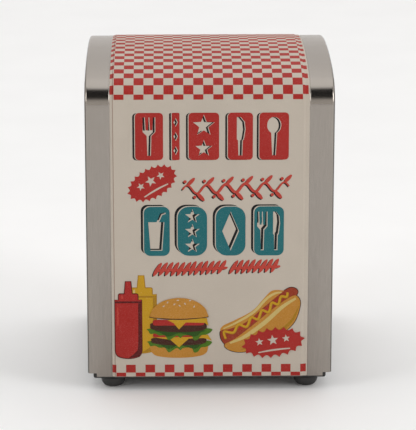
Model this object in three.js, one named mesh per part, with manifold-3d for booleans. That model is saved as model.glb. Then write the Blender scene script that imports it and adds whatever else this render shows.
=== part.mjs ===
// Two-ended napkin dispenser for a counter top.
//
// One sheet of stainless steel is bent over the front, top and back into an arched casing that stands in a
// black tray on four rubber feet. Each open end, left and right, is closed by a windowed faceplate that
// tilts outwards about two pins near its bottom edge. Inside, an upright divider backs two coil springs,
// and each spring drives a pusher towards its faceplate.
//
// Millimetres. X runs along the width, the printed front faces -Y, Z is up, and the feet stand on z = 0.

import * as THREE from "three";
import { mergeVertices } from "three/addons/utils/BufferGeometryUtils.js";
import Module from "manifold-3d";

const wasm = await Module();
wasm.setup();

// ---- Driving dimensions ----

const WIDTH = 100;
const DEPTH = 100;
const FOOT_HEIGHT = 4.3;
const TRAY_GAUGE = 0.8;
const TRAY_FLOOR = FOOT_HEIGHT + TRAY_GAUGE; // the face that napkins stand on
const TRAY_DROP = 1.2; // how far the tray shows below the casing
const CASING_BOTTOM = FOOT_HEIGHT + TRAY_DROP;
const WALL_HEIGHT = 113.3; // straight part of the front and back walls, below the bends

// The arch over the top: a tight bend, a short shoulder and a long flat crown, then the same backwards.
const BEND_RADIUS = 11;
const SHOULDER_RADIUS = 90;
const SLOPE_AFTER_BEND = THREE.MathUtils.degToRad(16);
const SLOPE_AFTER_SHOULDER = THREE.MathUtils.degToRad(6.5);

const CASING_GAUGE = 0.6;
const HEM_RADIUS = 1.3; // outside radius where the sheet turns in at both ends
const HEM_DEPTH = 3.0;
const BAND_WIDTH = 77.5;
const BAND_RISE = 0.5;
const BAND_STEP = 1.3; // width of the slope between the steel and the raised band
const NOTCH_WIDTH = 3.6;
const NOTCH_HEIGHT = 1.6;

const TRAY_INSET = 0.9; // from the casing's outer face to the tray's outer face
const TRAY_HALF_WIDTH = 47.3;
const TRAY_CORNER = 3;
const TRAY_EDGE_RADIUS = 2; // along the tray's lower outer edge
const TRAY_END_TOP = 7.9;
const TRAY_TAB_TOP = 15.2;
const TRAY_TAB_HALF_WIDTH = 48.3;

const FOOT_X = 39.8;
const FOOT_Y = DEPTH / 2 - 7;
const FOOT_RADIUS = 5;
const FOOT_STEM_RADIUS = 2;

const PLATE_GAUGE = 0.8;
const FACEPLATE_OUTER_X = 49.2;
const FACEPLATE_INSET = 3.5;
const FACEPLATE_DEPTH = 6.3;
const FACEPLATE_BOTTOM = 9.7;
const FACEPLATE_EDGE_RADIUS = 1.5;
const HINGE_X = 46.2;
const HINGE_Z = 12.1;
const PIN_RADIUS = 1;

const WINDOW_WIDTH = 58;
const WINDOW_BOTTOM = 38;
const WINDOW_TOP = 106;
const WINDOW_CORNER = 15;
const WINDOW_RIM_DEPTH = 1.2;

const PUSHER_FACE_X = 46.2;
const PUSHER_INSET = 7;
const PUSHER_BOTTOM = 15.2;
const PUSHER_LEG_X = 37.5; // inner face of the legs that glide on the tray
const PUSHER_LEG_BOTTOM = TRAY_FLOOR + 0.4;
const PUSHER_LEG_INNER_Y = 8;
const PUSHER_LEG_OUTER_Y = 28;
const PUSHER_FLANGE_BOTTOM = 20;
const PUSHER_FLANGE_TOP = 112;

const SPRING_Z = 70;
const SPRING_RADIUS = 11;
const SPRING_WIRE_RADIUS = 0.55;
const SPRING_TURNS = 7;
const CUP_GAUGE = 0.7;
const CUP_DEPTH = 2.6;
const CUP_RADIUS = 12.6;
const CUP_SHANK_RADIUS = 1.3;

const DIVIDER_INSET = 3;
const DIVIDER_FOOT_REACH = 8.5;
const DIVIDER_FOOT_INNER_Y = 10;
const DIVIDER_FOOT_OUTER_Y = 40;
const DIVIDER_SHANK_RADIUS = 1.5;
const DIVIDER_RIVET_X = 4.8;
const DIVIDER_RIVET_Y = 25;

const SEAT_GAP = 0.05; // between flat faces that rest on each other
const ROUND_GAP = 0.25; // between a round shank and its hole

// ---- Materials ----

const stainless = new THREE.MeshStandardMaterial({ color: 0x9b948c, roughness: 0.34, metalness: 1 });
const brightSteel = new THREE.MeshStandardMaterial({ color: 0xb4b2ae, roughness: 0.25, metalness: 1 });
const springSteel = new THREE.MeshStandardMaterial({ color: 0x77757a, roughness: 0.35, metalness: 1 });
const trayBlack = new THREE.MeshStandardMaterial({ color: 0x17171a, roughness: 0.45, metalness: 0 });
const rubberBlack = new THREE.MeshStandardMaterial({ color: 0x0f0f10, roughness: 0.8, metalness: 0 });

// ---- From three.js geometry to solids and back ----

function solidOf(geometry) {
  const bare = geometry.clone();
  bare.deleteAttribute("normal");
  bare.deleteAttribute("uv");
  const merged = mergeVertices(bare, 1e-4);
  const corners = merged.index.array;
  const triVerts = [];
  for (let i = 0; i < corners.length; i += 3) {
    const [a, b, c] = [corners[i], corners[i + 1], corners[i + 2]];
    if (a !== b && b !== c && c !== a) triVerts.push(a, b, c);
  }
  const vertProperties = merged.attributes.position.array;
  const make = (indices) =>
    new wasm.Manifold(new wasm.Mesh({ numProp: 3, vertProperties, triVerts: new Uint32Array(indices) }));
  const made = make(triVerts);
  return made.volume() > 0 ? made : make(triVerts.reverse());
}

function geometryOf(solid) {
  const { vertProperties, triVerts } = solid.getMesh();
  const geometry = new THREE.BufferGeometry();
  geometry.setAttribute("position", new THREE.BufferAttribute(new Float32Array(vertProperties), 3));
  geometry.setIndex(new THREE.BufferAttribute(new Uint32Array(triVerts), 1));
  const flat = geometry.toNonIndexed();
  flat.computeVertexNormals();
  return flat;
}

// ---- Outlines ----

// Points along the casing's outer face, from the front wall's bottom over the arch to the back wall's
// bottom, each with the direction that points out of the casing there.
function archSamples() {
  const bend = Math.PI / 2 - SLOPE_AFTER_BEND;
  const shoulder = SLOPE_AFTER_BEND - SLOPE_AFTER_SHOULDER;
  const usedByBend = BEND_RADIUS * (1 - Math.sin(SLOPE_AFTER_BEND));
  const usedByShoulder = SHOULDER_RADIUS * (Math.sin(SLOPE_AFTER_BEND) - Math.sin(SLOPE_AFTER_SHOULDER));
  const crownRadius = (DEPTH / 2 - usedByBend - usedByShoulder) / Math.sin(SLOPE_AFTER_SHOULDER);
  const arcs = [
    { radius: BEND_RADIUS, turn: bend, pieces: 8 },
    { radius: SHOULDER_RADIUS, turn: shoulder, pieces: 3 },
    { radius: crownRadius, turn: 2 * SLOPE_AFTER_SHOULDER, pieces: 6 },
    { radius: SHOULDER_RADIUS, turn: shoulder, pieces: 3 },
    { radius: BEND_RADIUS, turn: bend, pieces: 8 },
  ];
  const samples = [];
  const at = new THREE.Vector2(-DEPTH / 2, CASING_BOTTOM + WALL_HEIGHT);
  let heading = Math.PI / 2;
  const add = () =>
    samples.push({ point: at.clone(), out: new THREE.Vector2(-Math.sin(heading), Math.cos(heading)) });
  add();
  for (const { radius, turn, pieces } of arcs) {
    const step = turn / pieces;
    const chord = 2 * radius * Math.sin(step / 2);
    for (let i = 0; i < pieces; i++) {
      heading -= step / 2;
      at.add(new THREE.Vector2(Math.cos(heading), Math.sin(heading)).multiplyScalar(chord));
      heading -= step / 2;
      add();
    }
  }
  return samples;
}

// The arch's outline, moved in by inset, with straight walls down to bottom.
function archOutline(inset, bottom) {
  const arch = archSamples().map(({ point, out }) => point.clone().addScaledVector(out, -inset));
  const halfDepth = DEPTH / 2 - inset;
  return [new THREE.Vector2(-halfDepth, bottom), ...arch, new THREE.Vector2(halfDepth, bottom)];
}

const CREST = Math.max(...archOutline(0, CASING_BOTTOM).map((point) => point.y));

function roundedRectangle(width, height, radius) {
  const [x, y] = [width / 2, height / 2];
  const shape = new THREE.Shape();
  shape.moveTo(-x + radius, -y);
  shape.lineTo(x - radius, -y);
  shape.absarc(x - radius, -y + radius, radius, -Math.PI / 2, 0);
  shape.lineTo(x, y - radius);
  shape.absarc(x - radius, y - radius, radius, 0, Math.PI / 2);
  shape.lineTo(-x + radius, y);
  shape.absarc(-x + radius, y - radius, radius, Math.PI / 2, Math.PI);
  shape.lineTo(-x, -y + radius);
  shape.absarc(-x + radius, -y + radius, radius, Math.PI, 1.5 * Math.PI);
  return shape;
}

// ---- Simple solids ----

function box(low, high) {
  const size = high.map((value, axis) => value - low[axis]);
  const geometry = new THREE.BoxGeometry(...size);
  geometry.translate(...low.map((value, axis) => value + size[axis] / 2));
  return solidOf(geometry);
}

// The two numbers as a low and a high one, after both are put on the given side of zero.
function onSide(side, a, b) {
  return [side * a, side * b].sort((p, q) => p - q);
}

// A shape drawn in X and Y, with thickness along Z from low to high.
function plateAlongZ(shape, low, high, curveSegments = 5) {
  const options = { depth: high - low, bevelEnabled: false, curveSegments };
  return solidOf(new THREE.ExtrudeGeometry(shape, options).translate(0, 0, low));
}

// A shape drawn in Y and Z, with thickness along X from low to high.
function plateAlongX(shape, low, high, curveSegments = 6) {
  const options = { depth: high - low, bevelEnabled: false, curveSegments };
  const geometry = new THREE.ExtrudeGeometry(shape, options).translate(0, 0, low);
  const turn = new THREE.Matrix4().makeBasis(
    new THREE.Vector3(0, 1, 0),
    new THREE.Vector3(0, 0, 1),
    new THREE.Vector3(1, 0, 0),
  );
  return solidOf(geometry.applyMatrix4(turn));
}

// A turned piece: profile holds [radius, distance along the axis] from axis to axis.
const TURNS = {
  x: (geometry) => geometry.rotateZ(-Math.PI / 2),
  y: (geometry) => geometry,
  z: (geometry) => geometry.rotateX(Math.PI / 2),
};

function turned(profile, axis, centre, sides = 20) {
  const points = profile.map(([radius, along]) => new THREE.Vector2(radius, along));
  const geometry = TURNS[axis](new THREE.LatheGeometry(points, sides));
  return solidOf(geometry.translate(...centre));
}

function drill(radius, from, to, axis, centre) {
  const profile = [
    [0, from],
    [radius, from],
    [radius, to],
    [0, to],
  ];
  return turned(profile, axis, centre, 12);
}

// A section drawn as [x, inset] points, carried along the arch and down both walls to bottom.
function carriedOverArch(section, bottom) {
  const rings = archSamples();
  rings.unshift({ point: new THREE.Vector2(-DEPTH / 2, bottom), out: new THREE.Vector2(-1, 0) });
  rings.push({ point: new THREE.Vector2(DEPTH / 2, bottom), out: new THREE.Vector2(1, 0) });
  const count = section.length;
  const positions = rings.flatMap(({ point, out }) =>
    section.flatMap(([x, inset]) => [x, point.x - out.x * inset, point.y - out.y * inset]),
  );
  const indices = [];
  for (let ring = 0; ring < rings.length - 1; ring++)
    for (let i = 0; i < count; i++) {
      const [a, b] = [ring * count + i, ring * count + ((i + 1) % count)];
      indices.push(a, b, b + count, a, b + count, a + count);
    }
  const outline = section.map(([x, inset]) => new THREE.Vector2(x, inset));
  const last = (rings.length - 1) * count;
  for (const [a, b, c] of THREE.ShapeUtils.triangulateShape(outline, [])) {
    indices.push(c, b, a);
    indices.push(last + a, last + b, last + c);
  }
  const geometry = new THREE.BufferGeometry();
  geometry.setAttribute("position", new THREE.Float32BufferAttribute(positions, 3));
  geometry.setIndex(indices);
  return solidOf(geometry);
}

// Points of a quarter circle from one angle to another, as [x, inset] pairs.
function quarter(x, inset, radius, from, to, pieces = 3) {
  return Array.from({ length: pieces + 1 }, (_, i) => {
    const angle = THREE.MathUtils.degToRad(from + ((to - from) * i) / pieces);
    return [x + radius * Math.cos(angle), inset - radius * Math.sin(angle)];
  });
}

// ---- Casing ----

function casingShell() {
  const end = WIDTH / 2;
  const bandEdge = BAND_WIDTH / 2;
  const stepEdge = bandEdge + BAND_STEP;
  const stepMiddle = bandEdge + BAND_STEP / 2;
  const hemX = end - HEM_RADIUS;
  // The right half of the section: along the outer face to the hem's tip, and back along the inner face.
  const outer = [
    [bandEdge, -BAND_RISE],
    [stepMiddle, -BAND_RISE / 2],
    [stepEdge, 0],
    ...quarter(hemX, HEM_RADIUS, HEM_RADIUS, 90, 0),
    [end, HEM_DEPTH],
  ];
  const inner = [
    [end - CASING_GAUGE, HEM_DEPTH],
    ...quarter(hemX, HEM_RADIUS, HEM_RADIUS - CASING_GAUGE, 0, 90),
    [stepEdge - 0.1, CASING_GAUGE],
    [stepMiddle - 0.2, CASING_GAUGE - BAND_RISE / 2],
    [bandEdge - 0.3, CASING_GAUGE - BAND_RISE],
  ];
  const right = [...outer, ...inner];
  const left = right.map(([x, inset]) => [-x, inset]).reverse();
  let shell = carriedOverArch([...right, ...left], CASING_BOTTOM);
  for (const side of [-1, 1]) {
    const xs = onSide(side, end - NOTCH_WIDTH, end + 1);
    const notch = box(
      [xs[0], -DEPTH, CASING_BOTTOM - 1],
      [xs[1], DEPTH, CASING_BOTTOM + NOTCH_HEIGHT],
    );
    shell = shell.subtract(notch);
  }
  return shell;
}

// ---- Base ----

const CORNERS = [
  { name: "front_left", x: -1, y: -1 },
  { name: "front_right", x: 1, y: -1 },
  { name: "back_left", x: -1, y: 1 },
  { name: "back_right", x: 1, y: 1 },
];

// A block with rounded corners whose lower edge is rounded too. It reaches well above the tray's end walls.
function pan(halfWidth, halfDepth, corner, edge, bottom) {
  const flat = roundedRectangle(2 * (halfWidth - edge), 2 * (halfDepth - edge), corner - edge);
  const options = {
    depth: TRAY_END_TOP,
    bevelEnabled: true,
    bevelThickness: edge,
    bevelSize: edge,
    bevelSegments: 3,
    curveSegments: 3,
  };
  return solidOf(new THREE.ExtrudeGeometry(flat, options).translate(0, 0, bottom + edge));
}

function baseTray() {
  const halfDepth = DEPTH / 2 - TRAY_INSET;
  let tray = pan(TRAY_HALF_WIDTH, halfDepth, TRAY_CORNER, TRAY_EDGE_RADIUS, FOOT_HEIGHT).subtract(
    pan(
      TRAY_HALF_WIDTH - TRAY_GAUGE,
      halfDepth - TRAY_GAUGE,
      TRAY_CORNER - TRAY_GAUGE,
      TRAY_EDGE_RADIUS - TRAY_GAUGE,
      TRAY_FLOOR,
    ),
  );
  tray = tray.subtract(box([-WIDTH, -DEPTH, TRAY_END_TOP], [WIDTH, DEPTH, TRAY_TAB_TOP + 10]));
  // The front and back walls rise behind the casing as tabs that also carry the hinge pins.
  for (const side of [-1, 1]) {
    const ys = onSide(side, halfDepth, halfDepth - TRAY_GAUGE);
    tray = tray.add(
      box([-TRAY_TAB_HALF_WIDTH, ys[0], TRAY_END_TOP - 0.4], [TRAY_TAB_HALF_WIDTH, ys[1], TRAY_TAB_TOP]),
    );
  }
  for (const { x, y } of CORNERS) {
    const footHole = [x * FOOT_X, y * FOOT_Y, 0];
    tray = tray.subtract(drill(FOOT_STEM_RADIUS + ROUND_GAP, 0, TRAY_FLOOR + 1, "z", footHole));
    const pinHole = [x * HINGE_X, y * halfDepth, HINGE_Z];
    tray = tray.subtract(drill(PIN_RADIUS + ROUND_GAP, -2, 2, "y", pinHole));
  }
  for (const side of [-1, 1]) {
    const centre = [-side * DIVIDER_RIVET_X, side * DIVIDER_RIVET_Y, 0];
    tray = tray.subtract(drill(DIVIDER_SHANK_RADIUS + ROUND_GAP, 0, TRAY_FLOOR + 1, "z", centre));
  }
  return tray;
}

// A rubber foot: a flat-bottomed dome, a neck through the tray and a barb that holds it.
function foot({ x, y }) {
  const domeTop = FOOT_HEIGHT - SEAT_GAP;
  const neckTop = TRAY_FLOOR + SEAT_GAP;
  const profile = [
    [0, 0],
    [2.8, 0],
    [3.8, 0.5],
    [4.5, 1.4],
    [4.9, 2.6],
    [FOOT_RADIUS, 3.7],
    [FOOT_RADIUS - 0.3, domeTop],
    [FOOT_STEM_RADIUS, domeTop],
    [FOOT_STEM_RADIUS, neckTop],
    [3.1, neckTop],
    [3.0, neckTop + 0.6],
    [1.6, neckTop + 1.9],
    [0, neckTop + 1.9],
  ];
  return turned(profile, "z", [x * FOOT_X, y * FOOT_Y, 0], 18);
}

// ---- Divider ----

function centerDivider() {
  const bottom = TRAY_FLOOR + SEAT_GAP;
  const sheet = new THREE.Shape(archOutline(DIVIDER_INSET, bottom));
  let divider = plateAlongX(sheet, -PLATE_GAUGE / 2, PLATE_GAUGE / 2);
  for (const side of [-1, 1]) {
    const xs = onSide(-side, 0, DIVIDER_FOOT_REACH);
    const ys = onSide(side, DIVIDER_FOOT_INNER_Y, DIVIDER_FOOT_OUTER_Y);
    divider = divider.add(box([xs[0], ys[0], bottom], [xs[1], ys[1], bottom + PLATE_GAUGE]));
    const centre = [-side * DIVIDER_RIVET_X, side * DIVIDER_RIVET_Y, 0];
    divider = divider.subtract(drill(DIVIDER_SHANK_RADIUS + ROUND_GAP, 0, bottom + 2, "z", centre));
  }
  const centre = [0, 0, SPRING_Z];
  return divider.subtract(drill(CUP_SHANK_RADIUS + ROUND_GAP, -2, 2, "x", centre));
}

function dividerRivet(side) {
  const under = FOOT_HEIGHT - SEAT_GAP;
  const over = TRAY_FLOOR + PLATE_GAUGE + 2 * SEAT_GAP;
  const profile = [
    [0, under - 0.8],
    [2.4, under - 0.8],
    [2.8, under - 0.4],
    [2.8, under],
    [DIVIDER_SHANK_RADIUS, under],
    [DIVIDER_SHANK_RADIUS, over],
    [2.6, over],
    [2.1, over + 0.7],
    [1.1, over + 1],
    [0, over + 1],
  ];
  return turned(profile, "z", [-side * DIVIDER_RIVET_X, side * DIVIDER_RIVET_Y, 0], 16);
}

// ---- Faceplates, drawn for the right-hand end ----

function faceplate() {
  const innerX = FACEPLATE_OUTER_X - PLATE_GAUGE;
  const flangeX = FACEPLATE_OUTER_X - FACEPLATE_DEPTH;
  const edgeX = FACEPLATE_OUTER_X - FACEPLATE_EDGE_RADIUS;
  const flatInset = FACEPLATE_INSET + FACEPLATE_EDGE_RADIUS;
  const flange = [
    [flangeX, FACEPLATE_INSET],
    ...quarter(edgeX, flatInset, FACEPLATE_EDGE_RADIUS, 90, 0),
    ...quarter(edgeX, flatInset, FACEPLATE_EDGE_RADIUS - PLATE_GAUGE, 0, 90),
    [flangeX, FACEPLATE_INSET + PLATE_GAUGE],
  ];
  const flat = new THREE.Shape(archOutline(flatInset - 0.1, FACEPLATE_BOTTOM));
  let plate = carriedOverArch(flange, FACEPLATE_BOTTOM).add(plateAlongX(flat, innerX, FACEPLATE_OUTER_X));

  const windowHeight = WINDOW_TOP - WINDOW_BOTTOM;
  const windowZ = (WINDOW_TOP + WINDOW_BOTTOM) / 2;
  const rounded = (grow) =>
    roundedRectangle(WINDOW_WIDTH + 2 * grow, windowHeight + 2 * grow, WINDOW_CORNER + grow);
  const rim = plateAlongX(rounded(PLATE_GAUGE), innerX - WINDOW_RIM_DEPTH, innerX + 0.1);
  const opening = plateAlongX(rounded(0), innerX - 4, FACEPLATE_OUTER_X + 1);
  plate = plate.add(rim.translate([0, 0, windowZ])).subtract(opening.translate([0, 0, windowZ]));
  return plate.subtract(drill(PIN_RADIUS + ROUND_GAP, -DEPTH, DEPTH, "y", [HINGE_X, 0, HINGE_Z]));
}

// A shoulder rivet through the tray's tab and the faceplate's flange. Distances run in from the tab.
function hingePin({ x, y }) {
  const tabOuter = DEPTH / 2 - TRAY_INSET;
  const tabInner = tabOuter - TRAY_GAUGE;
  const flangeOuter = DEPTH / 2 - FACEPLATE_INSET;
  const flangeInner = flangeOuter - PLATE_GAUGE;
  const profile = [
    [0, flangeInner - 1.1],
    [1.6, flangeInner - 1.1],
    [2, flangeInner - 0.7],
    [2, flangeInner - 0.3],
    [PIN_RADIUS, flangeInner - 0.3],
    [PIN_RADIUS, flangeOuter + 0.3],
    [1.9, flangeOuter + 0.3],
    [1.9, tabInner - 0.2],
    [PIN_RADIUS, tabInner - 0.2],
    [PIN_RADIUS, tabOuter - SEAT_GAP],
    [0, tabOuter - SEAT_GAP],
  ];
  const along = profile.map(([radius, distance]) => [radius, y * distance]);
  return turned(along, "y", [x * HINGE_X, 0, HINGE_Z], 12);
}

// A leaf under the crown whose free end lies just over the faceplate's top flange.
function latchClip() {
  const gauge = 0.5;
  const halfWidth = 6;
  const rootZ = CREST - 0.55 - gauge / 2;
  const tipZ = CREST - FACEPLATE_INSET + 0.4 + gauge / 2;
  const middle = [
    [24, rootZ],
    [38, rootZ],
    [42.5, tipZ],
    [46.5, tipZ],
    [48.3, tipZ + 0.6],
  ];
  const upper = middle.map(([x, z]) => new THREE.Vector2(x, z + gauge / 2));
  const lower = middle.map(([x, z]) => new THREE.Vector2(x, z - gauge / 2)).reverse();
  const options = { depth: 2 * halfWidth, bevelEnabled: false };
  const leaf = new THREE.ExtrudeGeometry(new THREE.Shape([...upper, ...lower]), options);
  return solidOf(leaf.rotateX(Math.PI / 2).translate(0, halfWidth, 0));
}

// ---- Pushers and springs, drawn for the right-hand end ----

function pusher() {
  const back = PUSHER_FACE_X - PLATE_GAUGE;
  const sheet = new THREE.Shape(archOutline(PUSHER_INSET, PUSHER_BOTTOM));
  let plate = plateAlongX(sheet, back, PUSHER_FACE_X);
  const edge = DEPTH / 2 - PUSHER_INSET;
  for (const side of [-1, 1]) {
    const flange = onSide(side, edge, edge - PLATE_GAUGE);
    const leg = onSide(side, PUSHER_LEG_INNER_Y, PUSHER_LEG_OUTER_Y);
    plate = plate
      .add(
        box(
          [PUSHER_LEG_X + 1, flange[0], PUSHER_FLANGE_BOTTOM],
          [back + 0.2, flange[1], PUSHER_FLANGE_TOP],
        ),
      )
      .add(box([PUSHER_LEG_X, leg[0], PUSHER_BOTTOM], [back + 0.2, leg[1], PUSHER_BOTTOM + PLATE_GAUGE]))
      .add(
        box(
          [PUSHER_LEG_X, leg[0], PUSHER_LEG_BOTTOM],
          [PUSHER_LEG_X + PLATE_GAUGE, leg[1], PUSHER_BOTTOM + 0.2],
        ),
      );
  }
  return plate.subtract(drill(CUP_SHANK_RADIUS + ROUND_GAP, back - 1, PUSHER_FACE_X + 1, "x", [0, 0, SPRING_Z]));
}

// A shallow cup with a hole for its rivet. It opens towards facing, +1 or -1 along X, from its back face.
function springCup(backX, facing) {
  const hole = CUP_SHANK_RADIUS + ROUND_GAP;
  const profile = [
    [hole, 0],
    [CUP_RADIUS, 0],
    [CUP_RADIUS, CUP_DEPTH],
    [CUP_RADIUS - CUP_GAUGE, CUP_DEPTH],
    [CUP_RADIUS - CUP_GAUGE, CUP_GAUGE],
    [hole, CUP_GAUGE],
    [hole, 0],
  ];
  const along = profile.map(([radius, distance]) => [radius, facing * distance]);
  return turned(along, "x", [backX, 0, SPRING_Z], 24);
}

// A rivet along X with a low domed head outside each of the two faces that it clamps.
function cupRivet(lowX, highX) {
  const headRadius = 2.6;
  const headHeight = 0.5;
  const profile = [
    [0, lowX - headHeight],
    [headRadius - 1, lowX - headHeight],
    [headRadius, lowX],
    [CUP_SHANK_RADIUS, lowX],
    [CUP_SHANK_RADIUS, highX],
    [headRadius, highX],
    [headRadius - 1, highX + headHeight],
    [0, highX + headHeight],
  ];
  return turned(profile, "x", [0, 0, SPRING_Z], 12);
}

class SpringCentreline extends THREE.Curve {
  constructor(startX, endX) {
    super();
    this.startX = startX;
    this.endX = endX;
  }

  // The first and last turns are almost closed, and the turns between them are evenly open.
  getPoint(t, target = new THREE.Vector3()) {
    const turn = t * SPRING_TURNS;
    const closedRise = 2 * SPRING_WIRE_RADIUS + 0.1;
    const openRise = (this.endX - this.startX - 2 * closedRise) / (SPRING_TURNS - 2);
    const open = Math.min(Math.max(turn - 1, 0), SPRING_TURNS - 2);
    const x = this.startX + (turn - open) * closedRise + open * openRise;
    const angle = 2 * Math.PI * turn;
    return target.set(x, SPRING_RADIUS * Math.cos(angle), SPRING_Z + SPRING_RADIUS * Math.sin(angle));
  }
}

const ANCHOR_BACK_X = PLATE_GAUGE / 2 + SEAT_GAP;
const PUSHER_CUP_BACK_X = PUSHER_FACE_X - PLATE_GAUGE - SEAT_GAP;

function coilSpring() {
  const clear = CUP_GAUGE + 0.6 + SPRING_WIRE_RADIUS;
  const path = new SpringCentreline(ANCHOR_BACK_X + clear, PUSHER_CUP_BACK_X - clear);
  const wire = new THREE.Shape();
  wire.absarc(0, 0, SPRING_WIRE_RADIUS, 0, 2 * Math.PI);
  const options = { steps: 12 * SPRING_TURNS, extrudePath: path, curveSegments: 3 };
  return solidOf(new THREE.ExtrudeGeometry(wire, options));
}

// ---- The assembly ----

const dispenser = new THREE.Group();

function addPart(name, solid, material, parent = dispenser) {
  const mesh = new THREE.Mesh(geometryOf(solid), material);
  mesh.name = name;
  parent.add(mesh);
}

addPart("casing_shell", casingShell(), stainless);
addPart("base_tray", baseTray(), trayBlack);
for (const corner of CORNERS) addPart("foot_" + corner.name, foot(corner), rubberBlack);

addPart("center_divider", centerDivider(), brightSteel);
addPart("divider_rivet_front", dividerRivet(-1), springSteel);
addPart("divider_rivet_back", dividerRivet(1), springSteel);
const anchorFace = ANCHOR_BACK_X + CUP_GAUGE + SEAT_GAP;
addPart("anchor_rivet", cupRivet(-anchorFace, anchorFace), springSteel);
for (const corner of CORNERS) addPart("hinge_pin_" + corner.name, hingePin(corner), springSteel);

// Each end is the same set of pieces; the left end's group is turned half round about Z.
for (const { name, turn } of [
  { name: "right", turn: 0 },
  { name: "left", turn: Math.PI },
]) {
  const end = new THREE.Group();
  end.rotation.z = turn;
  dispenser.add(end);
  addPart("faceplate_" + name, faceplate(), brightSteel, end);
  addPart("latch_clip_" + name, latchClip(), springSteel, end);
  addPart("pusher_" + name, pusher(), brightSteel, end);
  addPart("spring_" + name, coilSpring(), springSteel, end);
  addPart("spring_anchor_" + name, springCup(ANCHOR_BACK_X, 1), springSteel, end);
  addPart("spring_cup_" + name, springCup(PUSHER_CUP_BACK_X, -1), springSteel, end);
  const cupFace = PUSHER_CUP_BACK_X - CUP_GAUGE - SEAT_GAP;
  addPart("pusher_rivet_" + name, cupRivet(cupFace, PUSHER_FACE_X + SEAT_GAP), springSteel, end);
}

export default dispenser;
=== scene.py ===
"""Looks of the two-ended napkin dispenser: smooth steelwork, the printed wrap and a plain studio.

Lengths in this file are millimetres unless a name says otherwise; put() turns them into metres.
X runs along the width, the printed front faces -Y, and Z is up.
"""

import math
import random

import bmesh
import bpy
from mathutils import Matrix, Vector
from mathutils.geometry import tessellate_polygon


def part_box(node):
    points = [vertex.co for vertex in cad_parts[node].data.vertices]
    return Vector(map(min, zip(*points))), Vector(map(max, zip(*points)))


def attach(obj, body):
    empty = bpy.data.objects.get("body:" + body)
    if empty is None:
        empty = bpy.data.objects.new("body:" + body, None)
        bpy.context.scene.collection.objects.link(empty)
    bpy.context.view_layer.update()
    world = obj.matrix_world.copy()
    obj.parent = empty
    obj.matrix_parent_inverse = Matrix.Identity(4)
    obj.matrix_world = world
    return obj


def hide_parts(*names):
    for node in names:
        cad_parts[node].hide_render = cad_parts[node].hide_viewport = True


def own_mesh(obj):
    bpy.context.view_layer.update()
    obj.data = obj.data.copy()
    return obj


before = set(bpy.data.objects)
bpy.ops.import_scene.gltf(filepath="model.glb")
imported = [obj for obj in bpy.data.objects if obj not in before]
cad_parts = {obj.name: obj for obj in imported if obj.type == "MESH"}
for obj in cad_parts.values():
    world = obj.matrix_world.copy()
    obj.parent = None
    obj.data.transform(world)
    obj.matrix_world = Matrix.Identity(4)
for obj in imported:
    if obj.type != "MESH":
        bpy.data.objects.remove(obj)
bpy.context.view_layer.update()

MM = 0.001
CASING_LOW, CASING_HIGH = (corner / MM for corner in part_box("casing_shell"))

# ---- Sizes of the casing ----

NODE_BAND_RISE = 0.5
BAND_RISE = 0.3
BAND_CENTRE = -0.55
BAND_HALF_WIDTH = 38.3
BAND_STEP = 0.7
GROOVE_MIDDLE = 40.0
GROOVE_HALF_WIDTH = 0.35
GROOVE_DEPTH = 0.2
EDGE_LINE_GAP = 0.1
WIDTH = CASING_HIGH.x - CASING_LOW.x
DEPTH = CASING_HIGH.y - CASING_LOW.y - 2 * NODE_BAND_RISE
CASING_BOTTOM = CASING_LOW.z
CREST = CASING_HIGH.z - NODE_BAND_RISE
CASING_GAUGE = 0.6
HEM_RADIUS = 1.3
HEM_DEPTH = 3.0
NOTCH_WIDTH = 3.6
NOTCH_HEIGHT = 1.6

BEND_RADIUS = 11.0
SHOULDER_RADIUS = 90.0
SLOPE_AFTER_BEND = math.radians(16)
SLOPE_AFTER_SHOULDER = math.radians(6.5)
BEND_SPAN = BEND_RADIUS * (1 - math.sin(SLOPE_AFTER_BEND))
SHOULDER_SPAN = SHOULDER_RADIUS * (math.sin(SLOPE_AFTER_BEND) - math.sin(SLOPE_AFTER_SHOULDER))
CROWN_RADIUS = (DEPTH / 2 - BEND_SPAN - SHOULDER_SPAN) / math.sin(SLOPE_AFTER_SHOULDER)
ARCH_RISE = (
    BEND_RADIUS * math.cos(SLOPE_AFTER_BEND)
    + SHOULDER_RADIUS * (math.cos(SLOPE_AFTER_SHOULDER) - math.cos(SLOPE_AFTER_BEND))
    + CROWN_RADIUS * (1 - math.cos(SLOPE_AFTER_SHOULDER))
)
WALL_HEIGHT = CREST - ARCH_RISE - CASING_BOTTOM

# Radius, turn and number of facets of each arc.
BEND = (BEND_RADIUS, math.pi / 2 - SLOPE_AFTER_BEND, 20)
SHOULDER = (SHOULDER_RADIUS, SLOPE_AFTER_BEND - SLOPE_AFTER_SHOULDER, 5)
CROWN = (CROWN_RADIUS, 2 * SLOPE_AFTER_SHOULDER, 12)
ARCS = (BEND, SHOULDER, CROWN, SHOULDER, BEND)
ARCH_LENGTH = sum(radius * turn for radius, turn, _ in ARCS)
WRAP_LENGTH = 2 * WALL_HEIGHT + ARCH_LENGTH


def arch_point(along):
    """(y, z, outward y, outward z) of the outer face, along mm from the front's lower edge."""
    if along <= WALL_HEIGHT:
        return -DEPTH / 2, CASING_BOTTOM + along, -1.0, 0.0
    y, z, heading = -DEPTH / 2, CASING_BOTTOM + WALL_HEIGHT, math.pi / 2
    left = along - WALL_HEIGHT
    for radius, turn, _ in ARCS:
        centre_y = y + radius * math.sin(heading)
        centre_z = z - radius * math.cos(heading)
        heading -= min(left / radius, turn)
        out_y, out_z = -math.sin(heading), math.cos(heading)
        y, z = centre_y + radius * out_y, centre_z + radius * out_z
        left -= radius * turn
        if left <= 0:
            return y, z, out_y, out_z
    return DEPTH / 2, z - left, 1.0, 0.0


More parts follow.
